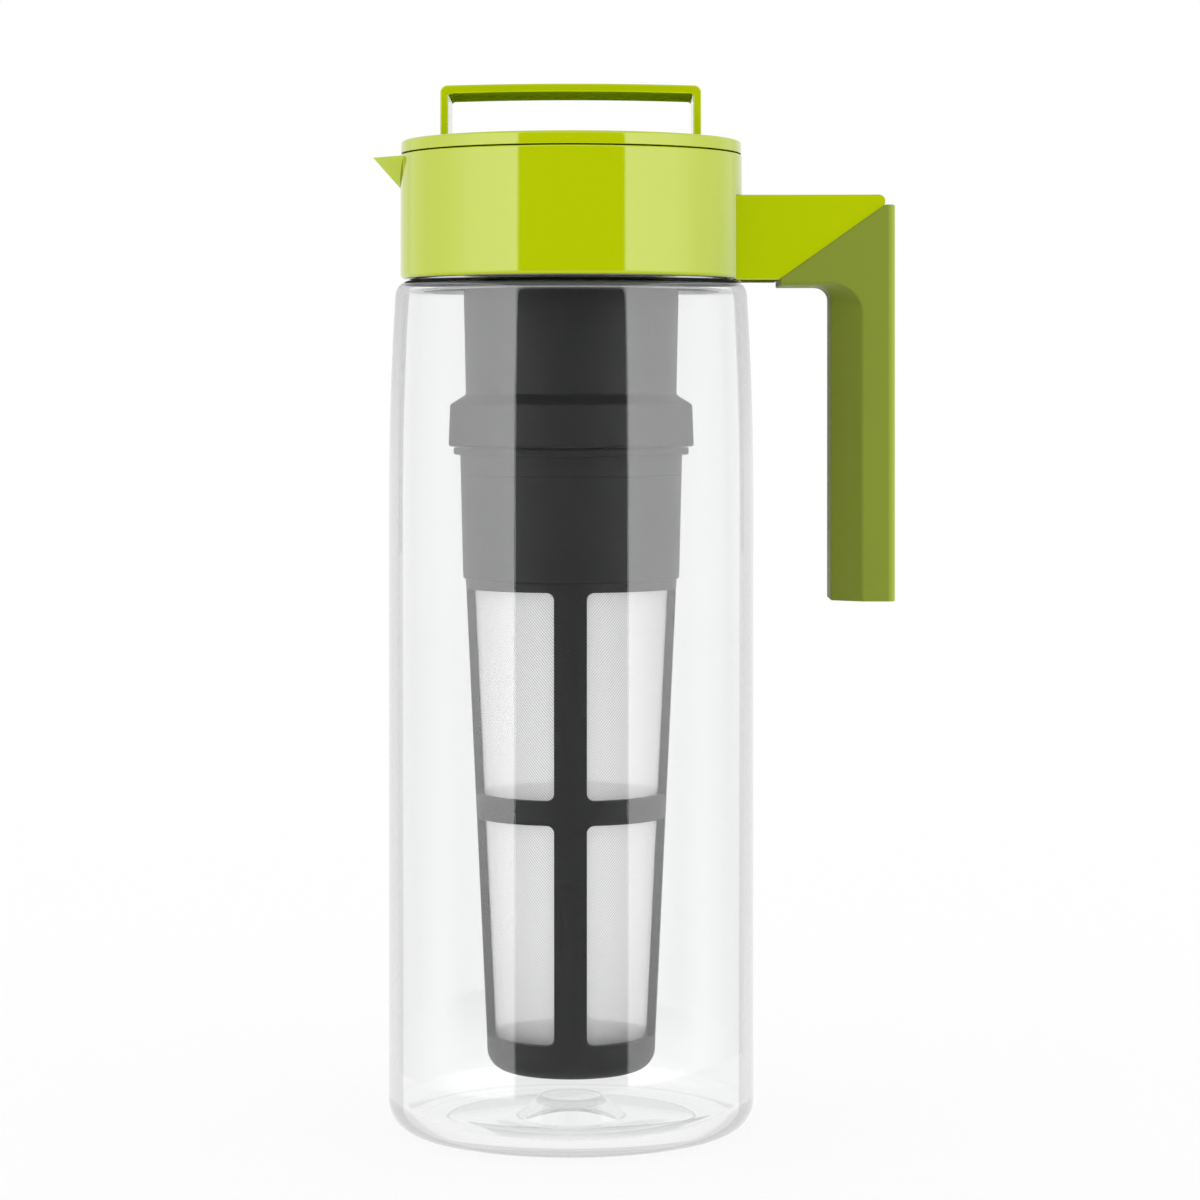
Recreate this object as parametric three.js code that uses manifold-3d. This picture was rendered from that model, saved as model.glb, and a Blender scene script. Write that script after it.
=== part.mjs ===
// An iced tea pitcher: a clear jug, a screw-on collar with spout and handle,
// and a lid that carries an infuser.
// Millimetres, +Z up. The jug's axis is the Z axis of the inner group, and the jug stands on z = 0.
import * as THREE from "three";
import { ConvexGeometry } from "three/addons/geometries/ConvexGeometry.js";
import { mergeVertices } from "three/addons/utils/BufferGeometryUtils.js";
import Module from "manifold-3d";

// Fits
const fitGap = 0.3; // between pieces that rest on each other
const lugClearance = 0.4; // round the bayonet lugs
const threadClearance = 0.4; // between a thread's crest and the wall that it faces

// Jug
const jugRadius = 55.5;
const jugHeight = 257.6; // from the table to the shoulder
const jugWall = 2.5;
const jugTaper = 1.7; // how much narrower the jug is at its shoulder
const taperHeight = 72.6; // the tapered stretch below the shoulder
const shoulderFillet = 5.5;
const heelFillet = 9.2;
const floorWall = 3;
const footWidth = 8.3;
const footHeight = 1;
const domeRadius = 16.5; // stepped dome in the middle of the floor
const domeTopRadius = 9.5;
const domeRise = 6;
const neckInset = 8.2; // from the jug's side in to the neck's side
const neckHeight = 26.2;
const neckWall = 2.5;

// Screw thread between neck and collar
const threadPitch = 6;
const threadTurns = 1;
const threadDepth = 1.3;
const threadWidth = 1.8;
const threadCrest = 0.9;
const threadLift = 9; // from the shoulder up to the start of the thread

// Gasket and collar
const gasketThickness = 1.8;
const gasketInset = 0.2;
const collarGap = 0.5; // between shoulder and collar
const collarWall = 3;
const collarFillet = 1.5;
const ledgeThickness = 2.4; // inward ledge that presses on the gasket
const ledgeOverhang = 1.8;
const rimHeight = 7.25; // from the ledge up to the collar's top
const rimWall = 3.4;
const rimFillet = 0.6;

// Spout
const spoutReach = 8.6; // how far the tip stands out of the collar
const spoutHalfWidth = 13;
const spoutDepth = 10.2; // from the collar's top down to the root of the beak
const tipDrop = 0.5;
const spoutWall = 1.5;

// Handle
const armDrop = 12.6; // from the collar's top down to the arm's top
const armHeight = 25.6;
const armReach = 42.6; // from the collar's side out to the arm's end
const armWidth = 31;
const armFillet = 2;
const armEndHeight = 2.9; // what is left of the arm where the slanting seam meets its end
const seamFoot = 10.6; // from the collar's side out to the foot of the slanting seam
const tongueDepth = 1.6; // tongue of the arm, set into a pocket of the collar
const tongueWidth = 16;
const tongueHeight = 16;
const gripProud = 3; // how far the grip stands out past the arm's end
const gripDepth = 19.1;
const gripWidth = 32;
const gripLength = 119.4;
const gripTopDrop = 3; // from the arm's top down to the grip's top
const gripLip = 1.7; // thickness of the lip under the arm
const lipReach = 0.8; // how far the lip runs on past the seam's foot
const gripFillet = 4; // inside corner
const gripEdge = 2.4; // bevel along the outer edges
const chamferDepth = 9.2; // taper along the inner edges
const chamferWidth = 7;
const chamferStop = 8.5; // from the lip's underside down to the end of the taper
const coreDepth = 9;
const coreWidth = 13;
const coreEnd = 6; // from the grip's foot up to the core's foot
const coreRoot = 0.8; // how far the core's top stays below the top of the seam

// Lid
const lidSeam = 0.5;
const capInset = 0.2;
const capThickness = 3.7;
const capFillet = 0.9;
const bailSpan = 78.4;
const bailHeight = 16.45;
const bailThickness = 2.4;
const bailWidth = 34;
const bailCrown = 0.6;
const bailFillet = 2.2;
const bailInnerFillet = 1;
const tenonDepth = 1.6; // feet of the bail, set into pockets of the cap
const tenonThickness = 1.4;
const tenonWidth = 26;
const plugClearance = 0.5;
const plugDisc = 2.4;
const plugOverhang = 4; // how far the disc stands out past the skirt
const plugDepth = 14; // how far the skirt reaches below the ledge
const plugWall = 2.6;
const slotWidth = 22; // pouring slots in the skirt
const slotMargin = 0.7;
const sealHeight = 2;
const grooveDepth = 1.2;
const bossLength = 18.6;
const bossWall = 2;

// Bayonet lugs of the infuser
const lugCount = 3;
const lugAngle = 40; // degrees
const lugReach = 1.8;
const lugHeight = 2.5;
const lugRoot = 0.6; // how deep a lug is rooted in its wall

// Infuser
const neckGap = 4.6; // between the plug's disc and the top of the infuser's neck
const tubeLength = 66;
const tubeTopRadius = 33.4;
const tubeFootRadius = 32.1;
const tubeWall = 1.6;
const skirtFillet = 0.8;
const skirtSlope = 3;
const skirtRadius = 37.4;
const skirtDraft = 0.5;
const skirtHeight = 12.7;
const skirtLugLift = 1.5;
const flangeRadius = 35.8;
const flangeThickness = 2.2;
const flangeFillet = 0.7;
const basketRim = 9; // the rim that stands up inside the skirt
const bodyTopRadius = 33.8;
const bodyFootRadius = 32.9;
const bodyLength = 37.5;
const bodyWall = 1.8;
const spigotHeight = 8;
const spigotWall = 1.6;
const cageTopRadius = 32.1;
const cageFootRadius = 25.7;
const cageWall = 2.3;
const cageTopBand = 2.8;
const upperWindow = 62.1;
const middleBand = 7.3;
const cupHeight = 10.7;
const cupFloor = 2.2;
const cupFillet = 6.5;
const cupDraft = 0.4;
const ribWidth = 9.7;
const ribCount = 4;
const infuserFloorGap = 8; // between the floor's dome and the cup
const meshThickness = 0.6;
const meshTuck = 2.6; // how deep the mesh sits in the cup

// Fineness of the round shapes
const outerSegments = 48;
const innerSegments = 36;
const arcSteps = 4;
const lugSteps = 5;
const threadSteps = 32;

// Past the faces that a cutting block has to clear
const over = 2;

// Corners closer than this are one corner
const mergeDistance = 1e-4;

// Heights and radii that follow from the sizes above
const floorTop = footHeight + floorWall;
const domeTop = floorTop + domeRise;
const shoulderRadius = jugRadius - jugTaper;
const neckRadius = jugRadius - neckInset;
const neckBore = neckRadius - neckWall;
const neckTop = jugHeight + neckHeight;
const collarBore = neckRadius + threadDepth + threadClearance;
const collarRadius = collarBore + collarWall;
const collarBottom = jugHeight + collarGap;
const ledgeBottom = neckTop + gasketThickness + 2 * fitGap;
const ledgeTop = ledgeBottom + ledgeThickness;
const ledgeBore = neckBore - ledgeOverhang;
const collarTop = ledgeTop + rimHeight;
const rimBore = collarRadius - rimWall;
const capBottom = collarTop + lidSeam;
const capTop = capBottom + capThickness;
const capRadius = collarRadius - capInset;
const plugTop = capBottom - fitGap;
const discBottom = plugTop - plugDisc;
const plugRadius = ledgeBore - plugClearance;
const plugBore = plugRadius - plugWall;
const plugFoot = ledgeBottom - plugDepth;
const sealMiddle = (ledgeBottom + ledgeTop) / 2;
const grooveRadius = plugRadius - grooveDepth;
const tubeBore = tubeTopRadius - tubeWall;
const bossRadius = tubeBore - lugReach - lugClearance;
const bossFoot = discBottom - bossLength;
const tubeTop = discBottom - neckGap;
const tubeFoot = tubeTop - tubeLength;
const skirtTop = tubeFoot - skirtSlope;
const skirtFoot = skirtTop - skirtHeight;
const skirtBore = skirtRadius - skirtDraft - tubeWall;
const rimRadius = skirtBore - lugReach - lugClearance;
const flangeTop = skirtFoot - fitGap;
const flangeBottom = flangeTop - flangeThickness;
const bodyFoot = flangeBottom - bodyLength;
const bodyBore = bodyFootRadius - bodyWall;
const cageTop = bodyFoot - fitGap;
const cageFoot = domeTop + infuserFloorGap;
const cupTop = cageFoot + cupHeight;
const armTop = collarTop - armDrop;
const armBottom = armTop - armHeight;
const armEnd = collarRadius + armReach;
const seamFootX = collarRadius + seamFoot;
const seamTopZ = armTop - armEndHeight;
const gripOuter = armEnd + gripProud;
const gripInner = gripOuter - gripDepth;
const gripTop = armTop - gripTopDrop;
const gripFoot = gripTop - gripLength;
const lipBottom = armBottom - gripLip;
const coreMiddle = (gripInner + gripOuter) / 2;
const bailTop = capTop + bailHeight;

const wasm = await Module();
wasm.setup();

// A closed three.js geometry as a solid for joining and cutting.
function toSolid(geometry) {
  const plain = geometry.index ? geometry.toNonIndexed() : geometry.clone();
  const bare = new THREE.BufferGeometry();
  bare.setAttribute("position", plain.getAttribute("position"));
  const merged = mergeVertices(bare, mergeDistance);
  const vertProperties = Float32Array.from(merged.attributes.position.array);
  const triVerts = Uint32Array.from(merged.index.array);
  return new wasm.Manifold(new wasm.Mesh({ numProp: 3, vertProperties, triVerts }));
}

function toGeometry(solid) {
  const mesh = solid.getMesh();
  const geometry = new THREE.BufferGeometry();
  geometry.setAttribute("position", new THREE.BufferAttribute(mesh.vertProperties, 3));
  geometry.setIndex(new THREE.BufferAttribute(mesh.triVerts, 1));
  geometry.computeVertexNormals();
  return geometry;
}

// The first geometry with some others joined to it and some cut out of it.
function shape(base, { joined = [], removed = [] }) {
  let solid = toSolid(base);
  for (const geometry of joined) solid = solid.add(toSolid(geometry));
  for (const geometry of removed) solid = solid.subtract(toSolid(geometry));
  return toGeometry(solid);
}

// Corners [x, y, fillet] as outline points, anticlockwise. A fillet stops at half of its shorter side.
function outline(corners) {
  const spots = corners.map(([x, y]) => new THREE.Vector2(x, y));
  return corners.flatMap(([, , fillet = 0], i) => {
    const corner = spots[i];
    if (fillet <= 0) return [corner];
    const back = spots.at(i - 1).clone().sub(corner);
    const ahead = spots[(i + 1) % spots.length].clone().sub(corner);
    const halfAngle = Math.acos(back.dot(ahead) / back.length() / ahead.length()) / 2;
    const shortest = Math.min(back.length(), ahead.length()) / 2;
    const reach = Math.min(fillet / Math.tan(halfAngle), shortest);
    const start = corner.clone().addScaledVector(back.normalize(), reach);
    const end = corner.clone().addScaledVector(ahead.normalize(), reach);
    const inward = back.clone().add(ahead).normalize();
    const centre = corner.clone().addScaledVector(inward, reach / Math.cos(halfAngle));
    const from = start.clone().sub(centre);
    const to = end.clone().sub(centre);
    const turn = Math.atan2(from.cross(to), from.dot(to));
    return Array.from({ length: arcSteps + 1 }, (_, k) =>
      start.clone().rotateAround(centre, (turn * k) / arcSteps),
    );
  });
}

// A closed profile of corners [radius, z, fillet] turned about the Z axis.
function revolve(corners, segments) {
  const points = outline(corners);
  return new THREE.LatheGeometry([...points, points[0].clone()], segments).rotateX(Math.PI / 2);
}

// A side outline of corners [x, z, fillet] made as wide as width, in the middle of Y.
function slab(corners, width) {
  const plate = new THREE.ExtrudeGeometry(new THREE.Shape(outline(corners)), {
    depth: width,
    bevelEnabled: false,
  });
  return plate.rotateX(Math.PI / 2).translate(0, width / 2, 0);
}

// A plan outline of corners [x, y] between two heights.
function prism(corners, bottom, top) {
  const plate = new THREE.ExtrudeGeometry(new THREE.Shape(outline(corners)), {
    depth: top - bottom,
    bevelEnabled: false,
  });
  return plate.translate(0, 0, bottom);
}

// A box from its low and high sides along each axis.
function block([left, right], [front, back], [bottom, top]) {
  const box = new THREE.BoxGeometry(right - left, back - front, top - bottom);
  return box.translate((left + right) / 2, (front + back) / 2, (bottom + top) / 2);
}

// Bayonet lugs spaced evenly round the axis, between two radii.
function lugs(innerRadius, outerRadius, bottom) {
  const half = THREE.MathUtils.degToRad(lugAngle) / 2;
  return Array.from({ length: lugCount }, (_, i) => {
    const middle = (2 * Math.PI * i) / lugCount;
    const sector = new THREE.Shape();
    sector.absarc(0, 0, outerRadius, middle - half, middle + half, false);
    sector.absarc(0, 0, innerRadius, middle + half, middle - half, true);
    const lug = new THREE.ExtrudeGeometry(sector, {
      depth: lugHeight,
      bevelEnabled: false,
      curveSegments: lugSteps,
    });
    return lug.translate(0, 0, bottom);
  });
}

// A screw thread's ridge: one section carried round the axis and up.
function threadRidge(rootRadius, crestRadius, startZ) {
  const section = [
    [rootRadius, -threadWidth / 2],
    [crestRadius, -threadCrest / 2],
    [crestRadius, threadCrest / 2],
    [rootRadius, threadWidth / 2],
  ];
  if (crestRadius < rootRadius) section.reverse();
  const steps = Math.ceil(threadSteps * threadTurns);
  const corners = section.length;
  const positions = [];
  const faces = [];
  for (let i = 0; i <= steps; i++) {
    const turn = (threadTurns * i) / steps;
    const angle = 2 * Math.PI * turn;
    for (const [radius, z] of section) {
      positions.push(radius * Math.cos(angle), radius * Math.sin(angle), startZ + z + threadPitch * turn);
    }
  }
  for (let i = 0; i < steps; i++) {
    for (let k = 0; k < corners; k++) {
      const here = i * corners + k;
      const next = i * corners + ((k + 1) % corners);
      faces.push(here, here + corners, next, here + corners, next + corners, next);
    }
  }
  const last = steps * corners;
  faces.push(0, 1, 2, 0, 2, 3);
  faces.push(last, last + 2, last + 1, last, last + 3, last + 2);
  const ridge = new THREE.BufferGeometry();
  ridge.setAttribute("position", new THREE.Float32BufferAttribute(positions, 3));
  return ridge.setIndex(faces);
}

function makeJug() {
  const footOuter = jugRadius - heelFillet;
  const footInner = footOuter - footWidth;
  const bore = jugRadius - jugWall;
  const shoulderBottom = jugHeight - jugWall;
  const taperStart = jugHeight - taperHeight;
  const body = revolve(
    [
      [0, domeTop - floorWall],
      [domeTopRadius, domeTop - floorWall],
      [domeRadius, footHeight],
      [footInner - footHeight, footHeight],
      [footInner, 0],
      [jugRadius, 0, heelFillet],
      [jugRadius, taperStart],
      [shoulderRadius, jugHeight, shoulderFillet],
      [neckRadius, jugHeight],
      [neckRadius, neckTop],
      [neckBore, neckTop],
      [neckBore, shoulderBottom],
      [shoulderRadius - jugWall, shoulderBottom, shoulderFillet - jugWall],
      [bore, taperStart],
      [bore, floorTop, heelFillet - jugWall],
      [domeRadius, floorTop],
      [domeTopRadius, domeTop],
      [0, domeTop],
    ],
    outerSegments,
  );
  const thread = threadRidge(neckRadius - threadClearance, neckRadius + threadDepth, jugHeight + threadLift);
  return shape(body, { joined: [thread] });
}

function makeNeckGasket() {
  const bottom = neckTop + fitGap;
  const top = ledgeBottom - fitGap;
  return revolve(
    [
      [neckBore + gasketInset, bottom],
      [neckRadius - gasketInset, bottom],
      [neckRadius - gasketInset, top],
      [neckBore + gasketInset, top],
    ],
    innerSegments,
  );
}

// The beak from its root in the collar to its tip.
// For the channel inside it, it is drawn in by a wall and opened upwards.
function beak(wall, root, openUp) {
  const side = spoutHalfWidth - wall;
  const sideX = -Math.sqrt(collarRadius ** 2 - side ** 2);
  const sideZ = collarTop - rimFillet;
  const keelZ = collarTop - spoutDepth + wall;
  const points = [
    [2 * wall - collarRadius - spoutReach, 0, collarTop - tipDrop],
    [-collarRadius, 0, keelZ],
    [root - collarRadius, 0, keelZ],
    [sideX, -side, sideZ],
    [sideX, side, sideZ],
    [sideX + root, -side, sideZ],
    [sideX + root, side, sideZ],
  ].map((spot) => new THREE.Vector3(...spot));
  const raised = points.map((spot) => spot.clone().setZ(spot.z + openUp));
  return new ConvexGeometry(openUp > 0 ? [...points, ...raised] : points);
}

function makeCollar() {
  const ring = revolve(
    [
      [collarBore, collarBottom],
      [collarRadius, collarBottom, collarFillet],
      [collarRadius, collarTop, rimFillet],
      [rimBore, collarTop],
      [rimBore, ledgeTop],
      [ledgeBore, ledgeTop],
      [ledgeBore, ledgeBottom],
      [collarBore, ledgeBottom],
    ],
    outerSegments,
  );
  const threadStart = jugHeight + threadLift - threadWidth - threadClearance;
  const thread = threadRidge(collarBore + threadClearance, collarBore - threadDepth, threadStart);
  const tongueMiddle = (armTop + armBottom) / 2;
  const pocketHalf = tongueWidth / 2 + fitGap;
  const pocketReach = tongueHeight / 2 + fitGap;
  const pocket = block(
    [collarRadius - tongueDepth, collarRadius + over],
    [-pocketHalf, pocketHalf],
    [tongueMiddle - pocketReach, tongueMiddle + pocketReach],
  );
  const channel = beak(spoutWall, rimWall + over, over);
  return shape(ring, { joined: [thread, beak(0, rimWall / 2, 0)], removed: [channel, pocket] });
}

function makeHandleArm() {
  const bracket = slab(
    [
      [ledgeBore, armBottom],
      [seamFootX, armBottom],
      [armEnd, seamTopZ],
      [armEnd, armTop, armFillet],
      [ledgeBore, armTop],
    ],
    armWidth,
  );
  const collarSpace = revolve(
    [
      [0, armBottom - over],
      [collarRadius + fitGap, armBottom - over],
      [collarRadius + fitGap, armTop + over],
      [0, armTop + over],
    ],
    outerSegments,
  );
  const tongueMiddle = (armTop + armBottom) / 2;
  const tongue = block(
    [collarRadius - tongueDepth + fitGap, collarRadius + over],
    [-tongueWidth / 2, tongueWidth / 2],
    [tongueMiddle - tongueHeight / 2, tongueMiddle + tongueHeight / 2],
  );
  const core = block(
    [coreMiddle - coreDepth / 2, coreMiddle + coreDepth / 2],
    [-coreWidth / 2, coreWidth / 2],
    [gripFoot + coreEnd, seamTopZ - coreRoot],
  );
  const trimmed = shape(bracket, { removed: [collarSpace] });
  return shape(trimmed, { joined: [tongue, core] });
}

function makeHandleGrip() {
  const slope = (seamTopZ - armBottom) / (armEnd - seamFootX);
  const drop = fitGap * Math.hypot(1, slope);
  const seamZ = (x) => armBottom - drop + slope * (x - seamFootX);
  const lipX = seamFootX - lipReach;
  const topX = armEnd + (gripTop - seamZ(armEnd)) / slope;
  const body = slab(
    [
      [gripInner, gripFoot],
      [gripOuter, gripFoot],
      [gripOuter, gripTop],
      [topX, gripTop],
      [lipX, seamZ(lipX)],
      [lipX, lipBottom],
      [gripInner, lipBottom, gripFillet],
    ],
    gripWidth,
  );
  const cavity = block(
    [coreMiddle - coreDepth / 2 - fitGap, coreMiddle + coreDepth / 2 + fitGap],
    [-coreWidth / 2 - fitGap, coreWidth / 2 + fitGap],
    [gripFoot + coreEnd - fitGap, armTop],
  );
  const half = gripWidth / 2;
  const innerTaper = [
    [gripInner - over, half - chamferWidth * (1 + over / chamferDepth)],
    [gripInner + chamferDepth, half],
    [gripInner - over, half],
  ];
  const outerBevel = [
    [gripOuter + over, half - gripEdge - over],
    [gripOuter + over, half + over],
    [gripOuter - gripEdge - over, half + over],
  ];
  const mirrored = (corners) => corners.map(([x, y]) => [x, -y]).reverse();
  const bothSides = (corners, top) =>
    [corners, mirrored(corners)].map((side) => prism(side, gripFoot - over, top));
  const tapers = bothSides(innerTaper, lipBottom - chamferStop);
  const bevels = bothSides(outerBevel, gripTop + over);
  return shape(body, { removed: [cavity, ...tapers, ...bevels] });
}

// The bail's two feet, grown by a clearance for the pockets that they stand in.
function bailFeet(clearance) {
  const middle = (bailSpan - bailThickness) / 2;
  const halfThick = tenonThickness / 2 + clearance;
  const halfWide = tenonWidth / 2 + clearance;
  const bottom = capTop - tenonDepth - clearance + fitGap;
  return [-middle, middle].map((x) =>
    block([x - halfThick, x + halfThick], [-halfWide, halfWide], [bottom, capTop + bailThickness]),
  );
}

function makeLidCap() {
  const disc = revolve(
    [
      [0, capBottom],
      [capRadius, capBottom],
      [capRadius, capTop, capFillet],
      [0, capTop],
    ],
    outerSegments,
  );
  return shape(disc, { removed: bailFeet(fitGap) });
}

function makeLidBail() {
  const outer = bailSpan / 2;
  const inner = outer - bailThickness;
  const foot = capTop + fitGap;
  const barBottom = bailTop - bailThickness;
  const strap = slab(
    [
      [-outer, foot],
      [-inner, foot],
      [-inner, barBottom - bailCrown, bailInnerFillet],
      [0, barBottom],
      [inner, barBottom - bailCrown, bailInnerFillet],
      [inner, foot],
      [outer, foot],
      [outer, bailTop - bailCrown, bailFillet],
      [0, bailTop],
      [-outer, bailTop - bailCrown, bailFillet],
    ],
    bailWidth,
  );
  return shape(strap, { joined: bailFeet(0) });
}

function makeLidPlug() {
  const grooveHalf = sealHeight / 2 + fitGap;
  const cup = revolve(
    [
      [0, discBottom],
      [bossRadius - bossWall, discBottom],
      [bossRadius - bossWall, bossFoot],
      [bossRadius, bossFoot],
      [bossRadius, discBottom],
      [plugBore, discBottom],
      [plugBore, plugFoot],
      [plugRadius, plugFoot],
      [plugRadius, sealMiddle - grooveHalf],
      [grooveRadius, sealMiddle - grooveHalf],
      [grooveRadius, sealMiddle + grooveHalf],
      [plugRadius, sealMiddle + grooveHalf],
      [plugRadius, discBottom],
      [plugRadius + plugOverhang, discBottom],
      [plugRadius + plugOverhang, plugTop],
      [0, plugTop],
    ],
    innerSegments,
  );
  const slot = block(
    [-slotWidth / 2, slotWidth / 2],
    [-plugRadius - over, plugRadius + over],
    [ledgeTop + slotMargin, discBottom - slotMargin],
  );
  const bossSpace = revolve(
    [
      [0, plugFoot],
      [plugBore - over, plugFoot],
      [plugBore - over, plugTop],
      [0, plugTop],
    ],
    innerSegments,
  );
  const slots = shape(slot, { removed: [bossSpace] });
  const hooks = lugs(bossRadius - lugRoot, bossRadius + lugReach, bossFoot);
  return shape(cup, { joined: hooks, removed: [slots] });
}

function makeLidSeal() {
  const inner = grooveRadius + fitGap;
  const outer = ledgeBore - fitGap;
  const bead = (outer - inner) / 2;
  return revolve(
    [
      [inner, sealMiddle - sealHeight / 2],
      [outer - bead, sealMiddle - sealHeight / 2],
      [outer, sealMiddle],
      [outer - bead, sealMiddle + sealHeight / 2],
      [inner, sealMiddle + sealHeight / 2],
    ],
    innerSegments,
  );
}

function makeInfuserNeck() {
  const footBore = tubeFootRadius - tubeWall;
  const tube = revolve(
    [
      [skirtBore, skirtFoot],
      [skirtRadius, skirtFoot, skirtFillet],
      [skirtRadius - skirtDraft, skirtTop],
      [tubeFootRadius, tubeFoot],
      [tubeTopRadius, tubeTop],
      [tubeBore, tubeTop],
      [tubeBore, bossFoot - lugHeight],
      [footBore, tubeFoot - tubeWall],
      [skirtBore, skirtTop - tubeWall],
    ],
    innerSegments,
  );
  const hangers = lugs(tubeBore - lugReach, tubeBore + lugRoot, bossFoot + lugHeight + fitGap);
  const holders = lugs(skirtBore - lugReach, skirtBore + lugRoot, skirtFoot + skirtLugLift);
  return shape(tube, { joined: [...hangers, ...holders] });
}

function makeInfuserBody() {
  const tube = revolve(
    [
      [bodyBore, bodyFoot],
      [bodyFootRadius, bodyFoot],
      [bodyTopRadius, flangeBottom],
      [flangeRadius, flangeBottom, flangeFillet],
      [flangeRadius, flangeTop, flangeFillet],
      [rimRadius, flangeTop],
      [rimRadius, flangeTop + basketRim],
      [bodyBore, flangeTop + basketRim],
    ],
    innerSegments,
  );
  const hookFoot = skirtFoot + skirtLugLift + lugHeight + fitGap;
  const hooks = lugs(rimRadius - lugRoot, rimRadius + lugReach, hookFoot);
  return shape(tube, { joined: hooks });
}

// The cage's outer radius at a height between its cup and its top.
function cageRadius(z) {
  return THREE.MathUtils.mapLinear(z, cupTop, cageTop, cageFootRadius, cageTopRadius);
}

function makeInfuserCage() {
  const spigotRadius = bodyBore - fitGap;
  const shell = revolve(
    [
      [0, cageFoot],
      [cageFootRadius - cupDraft, cageFoot, cupFillet],
      [cageFootRadius, cupTop],
      [cageTopRadius, cageTop],
      [spigotRadius, cageTop],
      [spigotRadius, cageTop + spigotHeight],
      [spigotRadius - spigotWall, cageTop + spigotHeight],
      [spigotRadius - spigotWall, cageTop],
      [cageTopRadius - cageWall, cageTop],
      [cageFootRadius - cageWall, cupTop],
      [cageFootRadius - cupDraft - cageWall, cageFoot + cupFloor, cupFillet - cupFloor],
      [0, cageFoot + cupFloor],
    ],
    innerSegments,
  );
  const upperTop = cageTop - cageTopBand;
  const upperBottom = upperTop - upperWindow;
  const levels = [
    [cupTop, upperBottom - middleBand],
    [upperBottom, upperTop],
  ];
  const reach = [ribWidth / 2, cageTopRadius + over];
  const windows = levels.flatMap((level) =>
    Array.from({ length: ribCount }, (_, i) =>
      block(reach, reach, level).rotateZ((2 * Math.PI * i) / ribCount),
    ),
  );
  return shape(shell, { removed: windows });
}

function makeInfuserMesh() {
  const bottom = cupTop - meshTuck;
  const top = cageTop - fitGap;
  const inset = cageWall + fitGap;
  return revolve(
    [
      [cageRadius(bottom) - inset - meshThickness, bottom],
      [cageRadius(bottom) - inset, bottom],
      [cageRadius(top) - inset, top],
      [cageRadius(top) - inset - meshThickness, top],
    ],
    innerSegments,
  );
}

const clear = new THREE.MeshStandardMaterial({ color: 0xf2f5f4, roughness: 0.05, metalness: 0 });
clear.transparent = true;
clear.opacity = 0.25;
const lime = new THREE.MeshStandardMaterial({ color: 0xb5c600, roughness: 0.25, metalness: 0 });
const olive = new THREE.MeshStandardMaterial({ color: 0x829034, roughness: 0.7, metalness: 0 });
const charcoal = new THREE.MeshStandardMaterial({ color: 0x343435, roughness: 0.55, metalness: 0 });
const meshCloth = new THREE.MeshStandardMaterial({ color: 0xd9d9d9, roughness: 0.85, metalness: 0 });
const silicone = new THREE.MeshStandardMaterial({ color: 0xe4e6e3, roughness: 0.6, metalness: 0 });

const pieces = [
  ["jug", makeJug, clear],
  ["neck_gasket", makeNeckGasket, silicone],
  ["collar", makeCollar, lime],
  ["handle_arm", makeHandleArm, lime],
  ["handle_grip", makeHandleGrip, olive],
  ["lid_cap", makeLidCap, lime],
  ["lid_bail", makeLidBail, lime],
  ["lid_plug", makeLidPlug, lime],
  ["lid_seal", makeLidSeal, silicone],
  ["infuser_neck", makeInfuserNeck, charcoal],
  ["infuser_body", makeInfuserBody, charcoal],
  ["infuser_cage", makeInfuserCage, charcoal],
  ["infuser_mesh", makeInfuserMesh, meshCloth],
];

const pitcher = new THREE.Group();
pitcher.name = "iced_tea_pitcher";
const onAxis = new THREE.Group();
// The origin is under the middle of the whole pitcher, halfway from the spout's tip to the grip's outer face.
onAxis.position.x = (collarRadius + spoutReach - gripOuter) / 2;
for (const [name, make, material] of pieces) {
  const mesh = new THREE.Mesh(make(), material);
  mesh.name = name;
  onAxis.add(mesh);
}
pitcher.add(onAxis);

export default pitcher;
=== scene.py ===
from math import ceil, cos, pi, radians, sin, sqrt, tan

import bmesh
import bpy
from mathutils import Matrix, Vector


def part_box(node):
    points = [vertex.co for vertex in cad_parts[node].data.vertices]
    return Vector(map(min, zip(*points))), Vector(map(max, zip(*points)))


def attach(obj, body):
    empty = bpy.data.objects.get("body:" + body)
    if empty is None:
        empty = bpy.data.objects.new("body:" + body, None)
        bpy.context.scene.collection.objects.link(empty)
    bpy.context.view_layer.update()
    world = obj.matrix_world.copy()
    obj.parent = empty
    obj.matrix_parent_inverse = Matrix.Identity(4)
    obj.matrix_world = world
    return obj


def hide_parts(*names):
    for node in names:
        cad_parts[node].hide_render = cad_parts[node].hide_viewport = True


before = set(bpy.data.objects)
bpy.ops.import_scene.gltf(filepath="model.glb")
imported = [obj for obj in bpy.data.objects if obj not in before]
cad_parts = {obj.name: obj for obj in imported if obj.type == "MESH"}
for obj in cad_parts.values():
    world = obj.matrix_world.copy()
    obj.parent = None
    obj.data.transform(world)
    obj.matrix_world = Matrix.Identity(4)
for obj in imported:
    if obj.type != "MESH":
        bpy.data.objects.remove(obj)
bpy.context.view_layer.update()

# Lengths are millimetres from the jug's axis, unless a note says metres
metre = 1000
jugLow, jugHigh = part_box("jug")
axisX = (jugLow.x + jugHigh.x) / 2  # metres
print("frame:", len(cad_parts), "nodes, jug axis at x", round(axisX, 4))


def span(node):
    low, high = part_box(node)
    shifts = (axisX, 0, 0)
    return [((a - s) * metre, (b - s) * metre) for a, b, s in zip(low, high, shifts)]


# Outlines and solids

arcStep = radians(7.5)
tolerance = 0.01  # lengths that differ by less count as equal


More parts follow.
